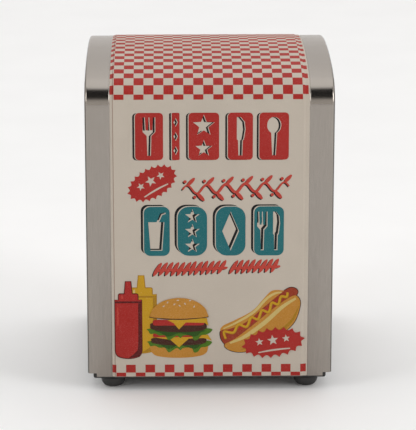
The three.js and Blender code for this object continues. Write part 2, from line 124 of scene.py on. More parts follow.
def arch_stations():
    """Distances of the arch's facet edges, from the front wall's top to the back wall's."""
    stations = [WALL_HEIGHT]
    for radius, turn, facets in ARCS:
        start = stations[-1]
        stations += [start + radius * turn * (i + 1) / facets for i in range(facets)]
    return stations


def wall_point(x, along, outwards):
    """A point over the casing's outer face, outwards mm away from it."""
    y, z, out_y, out_z = arch_point(along)
    return Vector((x, y + out_y * outwards, z + out_z * outwards))


def band_rise(x):
    """How far the pressed band stands out of the sheet at x; below 0 in the groove beside it."""
    t = min(max((BAND_HALF_WIDTH + BAND_STEP - abs(x - BAND_CENTRE)) / BAND_STEP, 0.0), 1.0)
    across = min(abs(abs(x) - GROOVE_MIDDLE) / GROOVE_HALF_WIDTH, 1.0)
    return BAND_RISE * t ** 1.5 - GROOVE_DEPTH * math.cos(math.pi / 2 * across) ** 2


def band_edge_lines():
    """Distances from the band's centre of the lines that shape its step and the groove."""
    reach = abs(BAND_CENTRE) + GROOVE_MIDDLE + GROOVE_HALF_WIDTH - BAND_HALF_WIDTH
    count = math.ceil(reach / EDGE_LINE_GAP) + 1
    return [BAND_HALF_WIDTH + EDGE_LINE_GAP * i for i in range(count)]


# ---- Materials ----


def linear(red, green, blue):
    """Screen colour values, 0 to 255, as the linear ones that shaders use."""
    values = [v / 255 for v in (red, green, blue)]
    return [v / 12.92 if v <= 0.04045 else ((v + 0.055) / 1.055) ** 2.4 for v in values]


class Tree:
    """A short way to write a node tree."""

    def __init__(self, owner):
        owner.use_nodes = True
        self.tree = owner.node_tree

    def add(self, kind, **values):
        node = self.tree.nodes.new(kind)
        for key, value in values.items():
            setattr(node, key, value)
        return node

    def link(self, output, target):
        self.tree.links.new(output, target)

    def feed(self, socket, value):
        """Links an output to the socket, or sets the socket to a plain value."""
        if isinstance(value, bpy.types.NodeSocket):
            self.link(value, socket)
        else:
            socket.default_value = value

    def mix(self, factor, first, second):
        """Mixes two colours, each an output or a plain colour; factor is an output or a number."""
        node = self.add("ShaderNodeMix", data_type="RGBA")
        for index, value in ((0, factor), (6, first), (7, second)):
            self.feed(node.inputs[index], value)
        return node.outputs[2]

    def calculate(self, operation, *values):
        node = self.add("ShaderNodeMath", operation=operation)
        for socket, value in zip(node.inputs, values):
            self.feed(socket, value)
        return node.outputs[0]

    def axes(self, vector):
        node = self.add("ShaderNodeSeparateXYZ")
        self.link(vector, node.inputs[0])
        return node.outputs

    def mapped(self, value, *ends, kind="LINEAR"):
        """The value, from between the first two ends to between the last two."""
        node = self.add("ShaderNodeMapRange", interpolation_type=kind)
        for socket, given in zip(node.inputs, (value, *ends)):
            self.feed(socket, given)
        return node.outputs[0]

    def window(self, value, low, high, most=1.0):
        """A soft step from 0 where the value is low to most where it is high."""
        return self.mapped(value, low, high, 0.0, most, kind="SMOOTHSTEP")


class Surface(Tree):
    """A material's node tree."""

    def __init__(self, name):
        self.material = bpy.data.materials.new(name)
        super().__init__(self.material)
        self.shader = self.tree.nodes["Principled BSDF"]
        self.place = self.add("ShaderNodeTexCoord").outputs["Object"]

    def stretched(self, scale_x, scale_y, scale_z):
        node = self.add("ShaderNodeMapping")
        node.inputs["Scale"].default_value = (scale_x, scale_y, scale_z)
        self.link(self.place, node.inputs["Vector"])
        return node.outputs["Vector"]

    def noise(self, grain_mm, detail=2.0, vector=None):
        """Noise with features about grain_mm wide."""
        node = self.add("ShaderNodeTexNoise")
        node.inputs["Scale"].default_value = 1 / (grain_mm * MM)
        node.inputs["Detail"].default_value = detail
        self.link(vector or self.place, node.inputs["Vector"])
        return node.outputs["Fac"]

    def ramp(self, factor, *stops):
        """Colours at positions 0 to 1."""
        node = self.add("ShaderNodeValToRGB")
        elements = node.color_ramp.elements
        while len(elements) < len(stops):
            elements.new(0.5)
        for element, (position, colour) in zip(elements, stops):
            element.position = position
            element.color = colour
        self.link(factor, node.inputs["Fac"])
        return node.outputs["Color"]

    def spread(self, factor, low, high):
        """A noise value, mostly 0.3 to 0.7, stretched to run from low to high."""
        return self.mapped(factor, 0.3, 0.7, low, high)

    def bump(self, height, strength, distance_mm):
        node = self.add("ShaderNodeBump")
        node.inputs["Strength"].default_value = strength
        node.inputs["Distance"].default_value = distance_mm * MM
        self.link(height, node.inputs["Height"])
        self.link(node.outputs["Normal"], self.shader.inputs["Normal"])

    def set(self, **values):
        for key, value in values.items():
            self.feed(self.shader.inputs[key.replace("_", " ")], value)
        return self.material


def grey(value, warmth=0.0):
    return [value * (1 + warmth), value, value * (1 - warmth), 1.0]


def sheet_steel(name, tone, roughness, warmth, grain=(1, 1, 0.03), painted_shade_beyond=None):
    """Rolled stainless sheet: fine grain along one axis, soft clouding and a few rubbed spots.
    Where given, painted shade begins at that x: the folded edges farther out are painted dark,
    standing in for the dark reflection along the hem's fold."""
    n = Surface(name)
    streaks = n.noise(0.16, 3, n.stretched(*grain))
    clouds = n.noise(9, 3)
    specks = n.noise(0.5, 2)
    base = n.ramp(streaks, (0.3, grey(tone * 0.9, warmth)), (0.7, grey(tone * 1.08, warmth)))
    base = n.mix(n.spread(clouds, 0.0, 0.2), base, grey(tone * 0.9, warmth * 1.3))
    base = n.mix(n.spread(specks, 0.0, 0.08), base, grey(tone * 1.2, warmth))
    # painted shade: the hem's folded edges darkened in the base colour, standing in for their dark
    # reflection
    if painted_shade_beyond:
        aside = n.calculate("ABSOLUTE", n.axes(n.place)["X"])
        edge = n.window(aside, (painted_shade_beyond - 0.1) * MM, (painted_shade_beyond + 0.15) * MM, 0.85)
        base = n.mix(edge, base, grey(tone * 0.2, warmth))
    fine = n.spread(streaks, roughness - 0.04, roughness + 0.04)
    rough = n.calculate("ADD", fine, n.spread(clouds, -0.015, 0.02))
    n.bump(streaks, 0.2, 0.02)
    return n.set(Base_Color=base, Metallic=1.0, Roughness=rough)


PRINT_TONE = 0.86


def ink(name, colour, fade):
    """Printing ink under a satin varnish: paper-like grain, light specks and slow fading."""
    n = Surface(name)
    plain = [channel * PRINT_TONE for channel in linear(*colour)]
    grain = n.noise(0.22, 4)
    specks = n.noise(0.55, 2)
    clouds = n.noise(14, 2)
    dark = [channel * (1 - fade) for channel in plain] + [1.0]
    light = [channel + (0.75 - channel) * fade * 0.5 for channel in plain] + [1.0]
    base = n.ramp(grain, (0.32, dark), (0.5, [*plain, 1.0]), (0.7, light))
    base = n.mix(n.spread(clouds, 0.0, 0.5), base, dark)
    wear_and_crease_shade = n.ramp(specks, (0.66, (0, 0, 0, 1)), (0.74, (1, 1, 1, 1)))
    base = n.mix(wear_and_crease_shade, base, light)
    n.bump(grain, 0.12, 0.02)
    return n.set(Base_Color=base, Roughness=n.spread(grain, 0.5, 0.62), Specular_IOR_Level=0.12)


def black_paint(name):
    """Semi-gloss black enamel with a little dust and orange peel."""
    n = Surface(name)
    dust = n.noise(0.7, 4)
    peel = n.noise(1.4, 1)
    base = n.ramp(dust, (0.45, grey(0.008)), (0.75, grey(0.03, 0.05)))
    n.bump(peel, 0.15, 0.05)
    return n.set(Base_Color=base, Roughness=n.spread(dust, 0.28, 0.42))


def rubber(name):
    """Matte moulded rubber, a little grey with blotches of dust."""
    n = Surface(name)
    grain = n.noise(0.3, 4)
    blotches = n.noise(2.5, 2)
    base = n.ramp(grain, (0.35, grey(0.011)), (0.7, grey(0.03, 0.04)))
    base = n.mix(n.spread(blotches, 0.0, 0.4), base, grey(0.035, 0.05))
    n.bump(grain, 0.3, 0.04)
    return n.set(Base_Color=base, Roughness=n.spread(grain, 0.5, 0.72))


# the casing's hem edges carry painted shade, a dark reflection painted into the steel
STEEL = sheet_steel("casing_steel", 0.3, 0.2, warmth=0.1, painted_shade_beyond=WIDTH / 2 - 0.55)
FACE_STEEL = sheet_steel("faceplate_steel", 0.36, 0.24, grain=(1, 1, 0.02), warmth=0.08)
INNER_STEEL = sheet_steel("inner_steel", 0.45, 0.36, grain=(1, 0.03, 1), warmth=-0.01)
SPRING_STEEL = sheet_steel("spring_steel", 0.3, 0.28, grain=(0.2, 1, 1), warmth=0.0)
RIVET_STEEL = sheet_steel("rivet_steel", 0.5, 0.26, grain=(1, 1, 1), warmth=0.01)
TRAY_BLACK = black_paint("tray_black")
FOOT_RUBBER = rubber("foot_rubber")

INK_COLOURS = {
    "cream": (206, 195, 181),
    "red": (178, 46, 40),
    # the two crease inks are painted shade for the fold along the band's left edge
    "crease_shade_cream": (168, 148, 134),
    "crease_shade_red": (134, 36, 34),
    "light_red": (198, 70, 58),
    "dark_red": (96, 26, 24),
    "black": (26, 26, 28),
    "teal": (36, 112, 118),
    "mustard": (208, 160, 34),
    "dark_mustard": (176, 130, 28),
    "bun": (200, 140, 56),
    "pale_bun": (214, 190, 118),
    "brown": (74, 40, 28),
    "sausage": (158, 62, 36),
    "green": (80, 122, 30),
    "dark_green": (48, 86, 24),
}
INK_FADE = {"cream": 0.1, "crease_shade_cream": 0.1, "black": 0.1}
INKS = {
    name: ink("ink_" + name, colour, INK_FADE.get(name, 0.16))
    for name, colour in INK_COLOURS.items()
}
INK_ORDER = list(INKS)


# ---- Meshes ----

SHARP_DEGREES = 35
REFINED_SHARP_DEGREES = 30


def shown(name, data):
    """A new object in the scene."""
    piece = bpy.data.objects.new(name, data)
    bpy.context.scene.collection.objects.link(piece)
    return piece


def put(name, points, faces, materials, face_materials=None, sharp_degrees=SHARP_DEGREES):
    """A new object from points in mm. Faces are smooth, with sharp edges where they turn far."""
    mesh = bpy.data.meshes.new(name)
    mesh.from_pydata([Vector(p) * MM for p in points], [], faces)
    for material in materials:
        mesh.materials.append(material)
    if face_materials:
        mesh.polygons.foreach_set("material_index", face_materials)
    mesh.shade_smooth()
    mesh.set_sharp_from_angle(angle=math.radians(sharp_degrees))
    mesh.validate()
    return shown(name, mesh)


def stand_for(piece, body, node):
    """The piece rides on the node's body and hides the node."""
    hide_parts(node)
    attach(piece, body)


def applied(piece):
    """Applies the piece's modifiers to its mesh."""
    graph = bpy.context.evaluated_depsgraph_get()
    mesh = bpy.data.meshes.new_from_object(piece.evaluated_get(graph), depsgraph=graph)
    piece.modifiers.clear()
    piece.data = mesh


def cut_boxes(piece, boxes):
    """Takes boxes, as pairs of corners in mm, out of the piece."""
    for low, high in boxes:
        xs, ys, zs = zip(low, high)
        corners = [(x, y, z) for x in xs for y in ys for z in zs]
        faces = [(0, 1, 3, 2), (4, 6, 7, 5), (0, 4, 5, 1), (2, 3, 7, 6), (0, 2, 6, 4), (1, 5, 7, 3)]
        cutter = put("cutter", corners, faces, [])
        cut = piece.modifiers.new("cut", "BOOLEAN")
        cut.operation = "DIFFERENCE"
        cut.solver = "EXACT"
        cut.object = cutter
        applied(piece)
        bpy.data.objects.remove(cutter)
    piece.data.set_sharp_from_angle(angle=math.radians(SHARP_DEGREES))


def strip_faces(rings, count, capped=False):
    """Quads between closed rings of count points each, with faces over both ends if capped."""
    faces = []
    for ring in range(rings - 1):
        for i in range(count):
            a, b = ring * count + i, ring * count + (i + 1) % count
            faces.append((a, b, b + count, a + count))
    if capped:
        last = (rings - 1) * count
        faces += [tuple(reversed(range(count))), tuple(range(last, last + count))]
    return faces


def carried(name, section, bottom, materials, lip=0.0):
    """A section of (x, inset) points carried up the front wall from bottom, over the arch and down
    the back. Where lip is above 0, the walls' lower edges are rounded over by that much."""
    rise = bottom - CASING_BOTTOM
    ends = [(rise, lip), (rise + 0.3 * lip, 0.3 * lip), (rise + lip, 0.0)] if lip else [(rise, 0.0)]
    middle = [(along, 0.0) for along in arch_stations()]
    back = [(WRAP_LENGTH - along, inset) for along, inset in reversed(ends)]
    points = []
    stations = ends + middle + back
    for along, rounding in stations:
        for x, inset in section:
            outer = inset < CASING_GAUGE / 2
            points.append(wall_point(x, along, -inset - (rounding if outer else 0.0)))
    faces = strip_faces(len(stations), len(section), capped=True)
    return put(name, points, faces, materials)


def arc_points(x, inset, radius, start, end, pieces=7):
    """Points of an arc in (x, inset), by degrees from +x towards the outer face."""
    angles = [math.radians(start + (end - start) * i / pieces) for i in range(pieces + 1)]
    return [(x + radius * math.cos(a), inset - radius * math.sin(a)) for a in angles]


def turned(name, profile, centre, materials, sides):
    """A turned piece from (radius, height) points that start and end on its upright axis."""
    inner = profile[1:-1]
    points = [(0, 0, profile[0][1]), (0, 0, profile[-1][1])]
    for radius, along in inner:
        for i in range(sides):
            angle = 2 * math.pi * i / sides
            points.append((radius * math.cos(angle), radius * math.sin(angle), along))
    faces = [tuple(2 + f for f in face) for face in strip_faces(len(inner), sides)]
    last = 2 + (len(inner) - 1) * sides
    for i in range(sides):
        j = (i + 1) % sides
        faces.append((0, 2 + j, 2 + i))
        faces.append((1, last + i, last + j))
    points = [Vector(p) + Vector(centre) for p in points]
    return put(name, points, faces, materials)


def refined(node, body, material, edge_mm=0.12):
    """Stands for a CAD node in the same shape, with rounded edges and smooth round faces."""
    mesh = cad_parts[node].data.copy()
    work = bmesh.new()
    work.from_mesh(mesh)
    bmesh.ops.remove_doubles(work, verts=work.verts, dist=1e-6)
    bmesh.ops.dissolve_limit(
        work, angle_limit=math.radians(1), verts=work.verts, edges=work.edges, delimit={"NORMAL"}
    )
    work.to_mesh(mesh)
    work.free()
    mesh.materials.clear()
    mesh.materials.append(material)
    mesh.shade_smooth()
    mesh.set_sharp_from_angle(angle=math.radians(REFINED_SHARP_DEGREES))
    piece = shown(node + "_finish", mesh)
    if edge_mm:
        bevel = piece.modifiers.new("edge", "BEVEL")
        bevel.width = edge_mm * MM
        bevel.segments = 2
        bevel.limit_method = "ANGLE"
        bevel.angle_limit = math.radians(REFINED_SHARP_DEGREES)
        bevel.harden_normals = True
        applied(piece)
    stand_for(piece, body, node)


# ---- Camera, light and floor ----

CAMERA_DISTANCE = 1021.4
CAMERA_AZIMUTH = math.radians(-1.01)  # seen a little from the left
CAMERA_PITCH = math.radians(15.63)
AIM = Vector((0.15, 0.0, 60.4))
SENSOR_MM = 36.0
LENS_MM = 201.3

# Metres and watts.
SOFTBOX_PLACE = Vector((1.6, -0.9, 0.8))
SOFTBOX_AIM = Vector((0, 0, 0.06))
SOFTBOX_SIZE = (0.7, 0.9)
SOFTBOXES = (("left_softbox", -1, 6), ("right_softbox", 1, 10))
FLOOR_REACH = 6.0
ROOM_STRENGTH = 1.26


def add_camera():
    data = bpy.data.cameras.new("camera")
    data.sensor_width = SENSOR_MM
    data.lens = LENS_MM
    data.clip_start = 0.01
    camera = shown("camera", data)
    level = math.cos(CAMERA_PITCH)
    towards = Vector(
        (level * math.sin(CAMERA_AZIMUTH), -level * math.cos(CAMERA_AZIMUTH), math.sin(CAMERA_PITCH))
    )
    camera.location = (AIM + towards * CAMERA_DISTANCE) * MM
    camera.rotation_euler = (-towards).to_track_quat("-Z", "Y").to_euler()
    bpy.context.scene.camera = camera


def add_softboxes():
    for name, side, watts in SOFTBOXES:
        data = bpy.data.lights.new(name, "AREA")
        data.shape = "RECTANGLE"
        data.size, data.size_y = SOFTBOX_SIZE
        data.energy = watts
        lamp = shown(name, data)
        place = Vector((side * SOFTBOX_PLACE.x, *SOFTBOX_PLACE.yz))
        lamp.location = place
        lamp.rotation_euler = (SOFTBOX_AIM - place).to_track_quat("-Z", "Y").to_euler()


def add_floor():
    mesh = bpy.data.meshes.new("floor")
    turns = ((-1, -1), (1, -1), (1, 1), (-1, 1))
    corners = [(x * FLOOR_REACH, y * FLOOR_REACH, 0) for x, y in turns]
    mesh.from_pydata(corners, [], [(0, 1, 2, 3)])
    floor = shown("floor", mesh)
    n = Surface("floor_paper")
    base = n.ramp(n.noise(60, 2), (0.3, grey(0.93)), (0.7, grey(0.95)))
    mesh.materials.append(n.set(Base_Color=base, Roughness=0.85))


def add_room():
    """A pale room with a black flag over the camera, which the front bend reflects."""
    world = bpy.data.worlds.new("studio")
    n = Tree(world)
    direction = n.axes(n.add("ShaderNodeTexCoord").outputs["Generated"])
    above = n.window(direction["Z"], 0.25, 0.48)
    below_top = n.window(direction["Z"], 0.97, 0.88)
    in_front = n.window(direction["Y"], -0.05, -0.3)
    narrow = n.window(n.calculate("ABSOLUTE", direction["X"]), 0.75, 0.5)
    upright = n.calculate("MULTIPLY", above, below_top)
    dark = n.calculate("MULTIPLY", upright, n.calculate("MULTIPLY", in_front, narrow))
    room = n.mix(n.window(direction["Z"], 0.2, 1.0), grey(0.6, 0.04), grey(1.1))
    background = n.tree.nodes["Background"]
    n.link(n.mix(dark, room, grey(0.02)), background.inputs["Color"])
    background.inputs["Strength"].default_value = ROOM_STRENGTH
    bpy.context.scene.world = world


def add_studio():
    add_softboxes()
    add_floor()
    add_room()
    bpy.context.scene.view_settings.view_transform = "Standard"


# ---- Steelwork ----


def make_casing():
    end = WIDTH / 2
    hem_x = end - HEM_RADIUS
    outer = arc_points(hem_x, HEM_RADIUS, HEM_RADIUS, 90, 0)
    outer += [(end, HEM_DEPTH - 0.15), (end - 0.15, HEM_DEPTH)]
    inner = [(end - CASING_GAUGE + 0.1, HEM_DEPTH), (end - CASING_GAUGE, HEM_DEPTH - 0.1)]
    inner += arc_points(hem_x, HEM_RADIUS, HEM_RADIUS - CASING_GAUGE, 0, 90)
    halves = []
    for side in (1, -1):
        xs = [BAND_CENTRE + side * aside for aside in band_edge_lines()]
        half = [(x, -band_rise(x)) for x in xs] + [(side * x, inset) for x, inset in outer + inner]
        halves.append(half + [(x, CASING_GAUGE - band_rise(x)) for x in reversed(xs)])
    casing = carried("casing_finish", halves[0] + halves[1][::-1], CASING_BOTTOM, [STEEL], lip=0.3)
    low_z, high_z = CASING_BOTTOM - 1, CASING_BOTTOM + NOTCH_HEIGHT
    spans = ((-end - 1, NOTCH_WIDTH - end), (end - NOTCH_WIDTH, end + 1))
    cut_boxes(casing, [((low, -DEPTH, low_z), (high, DEPTH, high_z)) for low, high in spans])
    stand_for(casing, "housing", "casing_shell")


LIP_HALF_WIDTH = 47.75
LIP_Z = (4.75, 7.2)
LIP_Y = (48.45, 49.15)
LIP_CORNER = 0.9
LIP_EDGE = 0.25


def make_tray_lip(name, sign):
    """The tray's painted lip behind the casing's lower edge; its corners show in the notches."""
    points = []
    for y, inset in ((LIP_Y[0], 0), (LIP_Y[1] - LIP_EDGE, 0), (LIP_Y[1], LIP_EDGE)):
        half, corner = LIP_HALF_WIDTH - inset, LIP_CORNER - inset
        ring = rounded_panel(-half, half, LIP_Z[0] + inset, LIP_Z[1], (corner, 0, 0, corner))
        points += [(-sign * x, sign * y, z) for x, z in ring]
    faces = strip_faces(3, len(points) // 3, capped=True)
    lip = put(name, points, faces, [TRAY_BLACK])
    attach(lip, "housing")


FOOT_HEIGHT = 4.3


def make_foot(name):
    low, high = (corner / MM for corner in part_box(name))
    radius = (high.x - low.x) / 2
    top = FOOT_HEIGHT - 0.05
    dome = [(2.6, 0), (3.1, 0.06), (3.75, 0.4), (4.3, 1.0), (4.68, 1.7), (4.9, 2.5), (radius, 3.3)]
    stem = [(2.0, top), (2.0, 5.15), (3.1, 5.15), (3.0, 5.75), (1.6, high.z), (0, high.z)]
    shoulder = [(radius, top - 0.5), (radius - 0.12, top - 0.15), (radius - 0.45, top)]
    profile = [(0, 0), *curve(dome, 4, closed=False), *shoulder, *stem]
    centre = ((low.x + high.x) / 2, (low.y + high.y) / 2, 0)
    piece = turned(name + "_finish", profile, centre, [FOOT_RUBBER], sides=48)
    stand_for(piece, "housing", name)


FACE_GAUGE = 0.8
FACE_EDGE_RADIUS = 1.5
FACE_INSET = 3.5
WINDOW_HALF_WIDTH = 29.0
WINDOW_Z = (38.0, 106.0)
WINDOW_CORNER = 15.0
RIM_DEPTH = 2.0


def make_faceplate(side):
    low, high = (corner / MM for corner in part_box("faceplate_" + side))
    sign = 1 if side == "right" else -1
    flange_x, face_x = sorted((abs(low.x), abs(high.x)))
    edge_x = face_x - FACE_EDGE_RADIUS
    flat_inset = FACE_INSET + FACE_EDGE_RADIUS
    section = [(flange_x, FACE_INSET), *arc_points(edge_x, flat_inset, FACE_EDGE_RADIUS, 90, 0)]
    section += arc_points(edge_x, flat_inset, FACE_EDGE_RADIUS - FACE_GAUGE, 0, 90)
    section.append((flange_x, FACE_INSET + FACE_GAUGE))
    flange = carried("flange", section, low.z, [])

    # The flat sheet inside the rounded edge, with a window whose rim is turned in.
    outline = [wall_point(0, along, -flat_inset).yz for along in arch_stations()]
    half = DEPTH / 2 - flat_inset
    outline = [Vector((-half, low.z)), *outline, Vector((half, low.z))]
    roll = FACE_GAUGE + 0.4
    turns = [math.radians(15 * i) for i in range(7)]
    rim = [(roll * (1 - math.sin(a)), face_x - roll * (1 - math.cos(a))) for a in turns]
    rim += [(0, face_x - RIM_DEPTH), (FACE_GAUGE, face_x - RIM_DEPTH), (FACE_GAUGE, face_x - roll)]
    rim.append((roll, face_x - FACE_GAUGE))
    loops = []
    for grow, _ in rim:
        half_window, corners = WINDOW_HALF_WIDTH + grow, (WINDOW_CORNER + grow,) * 4
        low_z, high_z = WINDOW_Z[0] - grow, WINDOW_Z[1] + grow
        loops.append(rounded_panel(-half_window, half_window, low_z, high_z, corners, 12))
    points = [(x, y, z) for (_, x), loop in zip(rim, loops) for y, z in loop]
    faces = strip_faces(len(rim), len(loops[0]))
    for loop, x in ((loops[0], face_x), (loops[-1], face_x - FACE_GAUGE)):
        start = len(points)
        ring = [Vector((x, y, z)) for y, z in outline]
        hole = [Vector((x, y, z)) for y, z in loop]
        points += ring + hole
        for a, b, c in tessellate_polygon([ring, hole]):
            faces.append((start + a, start + b, start + c))
    sheet = put("sheet", points, faces, [])

    work = bmesh.new()
    for part in (flange, sheet):
        work.from_mesh(part.data)
    for part in (flange, sheet):
        bpy.data.objects.remove(part)
    bmesh.ops.remove_doubles(work, verts=work.verts, dist=2e-6)
    if sign < 0:
        bmesh.ops.scale(work, vec=(-1, -1, 1), verts=work.verts)
    bmesh.ops.recalc_face_normals(work, faces=work.faces)
    mesh = bpy.data.meshes.new("faceplate")
    work.to_mesh(mesh)
    work.free()
    mesh.materials.append(FACE_STEEL)
    mesh.shade_smooth()
    mesh.set_sharp_from_angle(angle=math.radians(SHARP_DEGREES))
    piece = shown("faceplate_" + side + "_finish", mesh)
    stand_for(piece, "end_plate_" + side, "faceplate_" + side)


SPRING_TURNS = 7
WIRE_RADIUS = 0.55
SPRING_RADIUS = 11.0


def make_spring(side):
    node = "spring_" + side
    low, high = (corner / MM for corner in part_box(node))
    sign = 1 if side == "right" else -1
    near_x, far_x = sorted((abs(low.x), abs(high.x)))
    start, end = near_x + WIRE_RADIUS, far_x - WIRE_RADIUS
    centre_z = (low.z + high.z) / 2
    closed = 2 * WIRE_RADIUS + 0.1
    open_rise = (end - start - 2 * closed) / (SPRING_TURNS - 2)
    steps = 36 * SPRING_TURNS
    sides = 10
    points = []
    for i in range(steps + 1):
        turn = SPRING_TURNS * i / steps
        opened = min(max(turn - 1, 0), SPRING_TURNS - 2)
        x = start + (turn - opened) * closed + opened * open_rise
        angle = 2 * math.pi * turn
        out = Vector((0, math.cos(angle), math.sin(angle)))
        for k in range(sides):
            around = 2 * math.pi * k / sides
            reach = SPRING_RADIUS + WIRE_RADIUS * math.cos(around)
            points.append(Vector((x + WIRE_RADIUS * math.sin(around), 0, centre_z)) + out * reach)
    if sign < 0:
        points = [Vector((-p.x, -p.y, p.z)) for p in points]
    faces = [tuple(reversed(face)) for face in strip_faces(steps + 1, sides, capped=True)]
    piece = put(node + "_finish", points, faces, [SPRING_STEEL], sharp_degrees=60)
    stand_for(piece, "housing", node)
    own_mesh(piece)


def make_steelwork():
    make_casing()
    refined("base_tray", "housing", TRAY_BLACK, 0.15)
    make_tray_lip("tray_lip_front", -1)
    make_tray_lip("tray_lip_back", 1)
    for name in sorted(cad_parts):
        if name.startswith("foot_"):
            make_foot(name)
    refined("center_divider", "housing", INNER_STEEL)
    for name in sorted(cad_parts):
        if name.startswith(("divider_rivet", "hinge_pin", "anchor_rivet")):
            refined(name, "housing", RIVET_STEEL, 0)
    for side in ("right", "left"):
        make_faceplate(side)
        make_spring(side)
        refined("latch_clip_" + side, "housing", SPRING_STEEL, 0.1)
        refined("spring_anchor_" + side, "housing", INNER_STEEL, 0.15)
        follower = "follower_" + side
        refined("pusher_" + side, follower, INNER_STEEL, 0.15)
        refined("spring_cup_" + side, follower, INNER_STEEL, 0.15)
        refined("pusher_rivet_" + side, follower, RIVET_STEEL, 0)


# ---- The printed wrap ----

CHECK = 3.97
FIELD_X = (-39.9, 39.9)
LAST_CHECK_X = 39.45
CREASE_X = (-38.95, -38.6)  # painted shade along the fold at the band's left edge
CHECK_X0 = -38.31
LOW_ROW_TOPS = (2.0, 5.4)
FIELD_TOP = 116.5
WRAP_EDGE_GAP = 0.35
FIRST_FULL_ROW = 118.55
WRAP_INKS = ("cream", "red", "crease_shade_cream", "crease_shade_red")
INK_THICKNESS = 0.06
INK_STEP = 0.02


def grid_lines(low, high, *line_sets):
    """All lines strictly inside low to high, with both ends, in order."""
    inside = {round(v, 2) for lines in line_sets for v in lines if low + 0.02 < v < high - 0.02}
    return [low, *sorted(inside), high]


def row_of(along):
    """Number of the check row at a distance along the wrap, or None on the plain fields."""
    mirrored = min(along, WRAP_LENGTH - along)
    for row, top in enumerate(LOW_ROW_TOPS):
        if mirrored < top:
            return row
    if mirrored < FIELD_TOP:
        return None
    return 2 + math.ceil((along - FIRST_FULL_ROW) / CHECK)


def make_wrap():
    """The printed field over the band, with checks along both feet and over the arch."""
    columns = [CHECK_X0 + CHECK * i for i in range(-1, 21)]
    slopes = [BAND_CENTRE + side * aside for side in (-1, 1) for aside in band_edge_lines()]
    xs = grid_lines(*FIELD_X, columns, slopes, CREASE_X, [LAST_CHECK_X])
    rows = [FIRST_FULL_ROW + CHECK * i for i in range(40)]
    rows = [v for v in rows if FIELD_TOP < v < WRAP_LENGTH - FIELD_TOP]
    ends = [*LOW_ROW_TOPS, FIELD_TOP]
    ends += [WRAP_LENGTH - v for v in ends]
    edge = WRAP_EDGE_GAP
    stations = grid_lines(edge, WRAP_LENGTH - edge, rows, ends, arch_stations())

    points = [
        wall_point(x, along, band_rise(x) + lift)
        for lift in (INK_THICKNESS, INK_THICKNESS / 3)
        for along in stations
        for x in xs
    ]
    across, count = len(xs), len(xs) * len(stations)
    faces, inks = [], []
    for j, (low, high) in enumerate(zip(stations, stations[1:])):
        row = row_of((low + high) / 2)
        for i, (left, right) in enumerate(zip(xs, xs[1:])):
            middle = (left + right) / 2
            column = math.floor((middle - CHECK_X0) / CHECK)
            a = j * across + i
            quad = (a, a + 1, a + 1 + across, a + across)
            faces += [quad, tuple(count + v for v in reversed(quad))]
            red = row is not None and (row + column) % 2 == 0 and middle < LAST_CHECK_X
            # cells in the crease take the darker inks: painted shade along the fold
            wear_and_crease_shade = CREASE_X[0] < middle < CREASE_X[1]
            inks += [WRAP_INKS.index(("crease_shade_" if wear_and_crease_shade else "") + ("red" if red else "cream"))] * 2
    rim = [*range(across), *range(2 * across - 1, count, across)]
    rim += [*range(count - 2, count - across - 1, -1), *range(count - 2 * across, 0, -across)]
    for a, b in zip(rim, rim[1:] + rim[:1]):
        faces.append((b, a, count + a, count + b))
        inks.append(0)
    wrap = put("printed_wrap", points, faces, [INKS[name] for name in WRAP_INKS], inks, 60)
    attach(wrap, "housing")


class Motif:
    """Flat shapes of ink in (x, height over the casing's edge), each layer a hair over the last."""

    def __init__(self, name, lowest_layer=0):
        self.name, self.lowest_layer = name, lowest_layer
        self.points, self.faces, self.inks = [], [], []

    def lay(self, ink_name, outline, layer=0, holes=()):
        start = len(self.points)
        layer += self.lowest_layer
        loops = [list(outline), *[list(hole) for hole in holes]]
        placed = [[Vector((x, h, 0)) for x, h in loop] for loop in loops]
        flat = [point for loop in placed for point in loop]
        count = len(flat)
        top = DEPTH / 2 + BAND_RISE + INK_THICKNESS + INK_STEP * (layer + 1)
        for out in (top, top - INK_STEP * (layer + 1) - INK_THICKNESS / 3):
            self.points += [(p.x, -out, CASING_BOTTOM + p.y) for p in flat]
        made = []
        for a, b, c in tessellate_polygon(placed):
            facing = (flat[b] - flat[a]).cross(flat[c] - flat[a]).z
            if facing < 0:
                b, c = c, b
            made += [(a, b, c), (count + a, count + c, count + b)]
        first = 0
        for loop in loops:
            size = len(loop)
            turn = sum(p[0] * q[1] - q[0] * p[1] for p, q in zip(loop, loop[1:] + loop[:1]))
            outer = loop is loops[0]
            for i in range(size):
                a, b = first + i, first + (i + 1) % size
                if (turn < 0) == outer:
                    a, b = b, a
                made.append((b, a, count + a, count + b))
            first += size
        self.faces += [tuple(start + v for v in face) for face in made]
        self.inks += [INK_ORDER.index(ink_name)] * len(made)

    def print_both_sides(self):
        """Makes the motif on the front and, turned half round, on the back."""
        for side, sign in (("front", 1), ("back", -1)):
            middle = BAND_CENTRE * (1 - sign)
            points = [(sign * x + middle, sign * y, z) for x, y, z in self.points]
            name = self.name + "_" + side
            piece = put(name, points, self.faces, [INKS[i] for i in INK_ORDER], self.inks)
            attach(piece, "housing")


STAR_POINTS = 5
STAR_DEPTH = 0.42


def moved(outline, dx, dy):
    return [(x + dx, y + dy) for x, y in outline]


def ellipse(x, y, half_width, half_height, tilt=0.0, pieces=28):
    tilt = math.radians(tilt)
    outline = []
    for i in range(pieces):
        angle = 2 * math.pi * i / pieces
        a, b = half_width * math.cos(angle), half_height * math.sin(angle)
        turned_x = a * math.cos(tilt) - b * math.sin(tilt)
        turned_y = a * math.sin(tilt) + b * math.cos(tilt)
        outline.append((x + turned_x, y + turned_y))
    return outline


